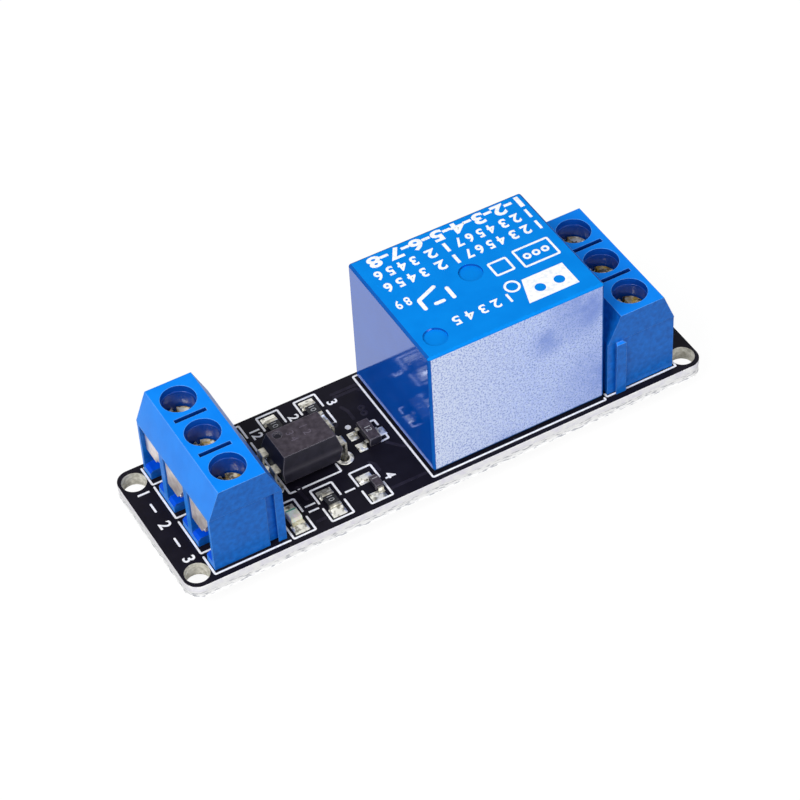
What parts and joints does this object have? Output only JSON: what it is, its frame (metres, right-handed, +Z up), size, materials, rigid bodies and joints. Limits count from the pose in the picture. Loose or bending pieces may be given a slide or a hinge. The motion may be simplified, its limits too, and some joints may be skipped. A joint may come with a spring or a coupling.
{
  "type": "relay module board",
  "caption": "Small black circuit board with a blue cube relay, a three-way screw terminal block at each end and chip parts between them.",
  "frame": {"origin": "centre of the corner hole pattern on the underside of the board", "axes": "+X along the board to the output terminals, +Y across it, +Z up from the board to the components"},
  "size_m": [0.057, 0.017, 0.0187],
  "materials": {
    "board_laminate": "gloss solder mask over glass-fibre laminate",
    "relay_case": "moulded gloss",
    "relay_base": "moulded matte",
    "terminal_plastic": "moulded satin",
    "tinned_metal": "tin plate",
    "screw_metal": "yellow passivated",
    "solder": "bright solder",
    "coil_wire": "enamelled copper wire",
    "soft_iron": "bright plated iron",
    "bobbin_plastic": "natural",
    "spring_metal": "bare bronze strip",
    "contact_silver": "polished",
    "blade_metal": "tinned brass blade",
    "black_epoxy": "moulded epoxy",
    "resistor_film": "glazed film",
    "lamp_base": "white ceramic-filled resin",
    "lamp_lens": "milky resin"
  },
  "bodies": {
    "board": {"circuit_board": "board_laminate", "top_solder": "solder", "underside_solder": "solder", "relay_cover": "relay_case", "relay_base": "relay_base", "yoke": "soft_iron", "coil_core": "soft_iron", "coil_bobbin": "bobbin_plastic", "coil_winding": "coil_wire", "coil_pin_1": "blade_metal", "coil_pin_2": "blade_metal", "common_terminal": "blade_metal", "normally_closed_terminal": "blade_metal", "normally_open_terminal": "blade_metal", "input_housing": "terminal_plastic", "input_contact_1": "tinned_metal", "input_contact_2": "tinned_metal", "input_contact_3": "tinned_metal", "output_housing": "terminal_plastic", "output_contact_1": "tinned_metal", "output_contact_2": "tinned_metal", "output_contact_3": "tinned_metal", "optocoupler_body": "black_epoxy", "optocoupler_leads": "tinned_metal", "resistor_1_body": "resistor_film", "resistor_1_caps": "tinned_metal", "resistor_2_body": "resistor_film", "resistor_2_caps": "tinned_metal", "resistor_3_body": "resistor_film", "resistor_3_caps": "tinned_metal", "led_1_base": "lamp_base", "led_1_lens": "lamp_lens", "led_2_base": "lamp_base", "led_2_lens": "lamp_lens", "diode_body": "black_epoxy", "diode_leads": "tinned_metal", "transistor_body": "black_epoxy", "transistor_leads": "tinned_metal"},
    "relay_armature": {"armature": "soft_iron", "contact_spring": "spring_metal", "moving_contact": "contact_silver"},
    "input_clamp_1": {"input_clamp_1": "tinned_metal"},
    "input_screw_1": {"input_screw_1": "screw_metal"},
    "input_clamp_2": {"input_clamp_2": "tinned_metal"},
    "input_screw_2": {"input_screw_2": "screw_metal"},
    "input_clamp_3": {"input_clamp_3": "tinned_metal"},
    "input_screw_3": {"input_screw_3": "screw_metal"},
    "output_clamp_1": {"output_clamp_1": "tinned_metal"},
    "output_screw_1": {"output_screw_1": "screw_metal"},
    "output_clamp_2": {"output_clamp_2": "tinned_metal"},
    "output_screw_2": {"output_screw_2": "screw_metal"},
    "output_clamp_3": {"output_clamp_3": "tinned_metal"},
    "output_screw_3": {"output_screw_3": "screw_metal"}
  },
  "joints": [
    {"name": "relay_armature_hinge", "type": "hinge", "parent": "board", "child": "relay_armature", "pos_m": [0.0004, 0.0002, 0.0136], "axis": [0, 1, 0], "range_deg": [0, 2], "stiffness_Nm_per_rad": 0.02, "springref_deg": -2.86},
    {"name": "input_clamp_1_slide", "type": "slide", "parent": "board", "child": "input_clamp_1", "axis": [0, 0, -1], "range_m": [0, 0.0015]},
    {"name": "input_screw_1_turn", "type": "hinge", "parent": "input_clamp_1", "child": "input_screw_1", "pos_m": [-0.02182, 0.00528, 0.009], "axis": [0, 0, -1], "range_deg": [0, 1080]},
    {"name": "input_clamp_2_slide", "type": "slide", "parent": "board", "child": "input_clamp_2", "axis": [0, 0, -1], "range_m": [0, 0.0015]},
    {"name": "input_screw_2_turn", "type": "hinge", "parent": "input_clamp_2", "child": "input_screw_2", "pos_m": [-0.02182, 0.0002, 0.009], "axis": [0, 0, -1], "range_deg": [0, 1080]},
    {"name": "input_clamp_3_slide", "type": "slide", "parent": "board", "child": "input_clamp_3", "axis": [0, 0, -1], "range_m": [0, 0.0015]},
    {"name": "input_screw_3_turn", "type": "hinge", "parent": "input_clamp_3", "child": "input_screw_3", "pos_m": [-0.02182, -0.00488, 0.009], "axis": [0, 0, -1], "range_deg": [0, 1080]},
    {"name": "output_clamp_1_slide", "type": "slide", "parent": "board", "child": "output_clamp_1", "axis": [0, 0, -1], "range_m": [0, 0.0015]},
    {"name": "output_screw_1_turn", "type": "hinge", "parent": "output_clamp_1", "child": "output_screw_1", "pos_m": [0.02182, -0.00488, 0.009], "axis": [0, 0, -1], "range_deg": [0, 1080]},
    {"name": "output_clamp_2_slide", "type": "slide", "parent": "board", "child": "output_clamp_2", "axis": [0, 0, -1], "range_m": [0, 0.0015]},
    {"name": "output_screw_2_turn", "type": "hinge", "parent": "output_clamp_2", "child": "output_screw_2", "pos_m": [0.02182, 0.0002, 0.009], "axis": [0, 0, -1], "range_deg": [0, 1080]},
    {"name": "output_clamp_3_slide", "type": "slide", "parent": "board", "child": "output_clamp_3", "axis": [0, 0, -1], "range_m": [0, 0.0015]},
    {"name": "output_screw_3_turn", "type": "hinge", "parent": "output_clamp_3", "child": "output_screw_3", "pos_m": [0.02182, 0.00528, 0.009], "axis": [0, 0, -1], "range_deg": [0, 1080]}
  ],
  "couplings": [
    {"joint": "input_screw_1_turn", "follows": "input_clamp_1_slide", "rad_per_m": 12566},
    {"joint": "input_screw_2_turn", "follows": "input_clamp_2_slide", "rad_per_m": 12566},
    {"joint": "input_screw_3_turn", "follows": "input_clamp_3_slide", "rad_per_m": 12566},
    {"joint": "output_screw_1_turn", "follows": "output_clamp_1_slide", "rad_per_m": 12566},
    {"joint": "output_screw_2_turn", "follows": "output_clamp_2_slide", "rad_per_m": 12566},
    {"joint": "output_screw_3_turn", "follows": "output_clamp_3_slide", "rad_per_m": 12566}
  ]
}
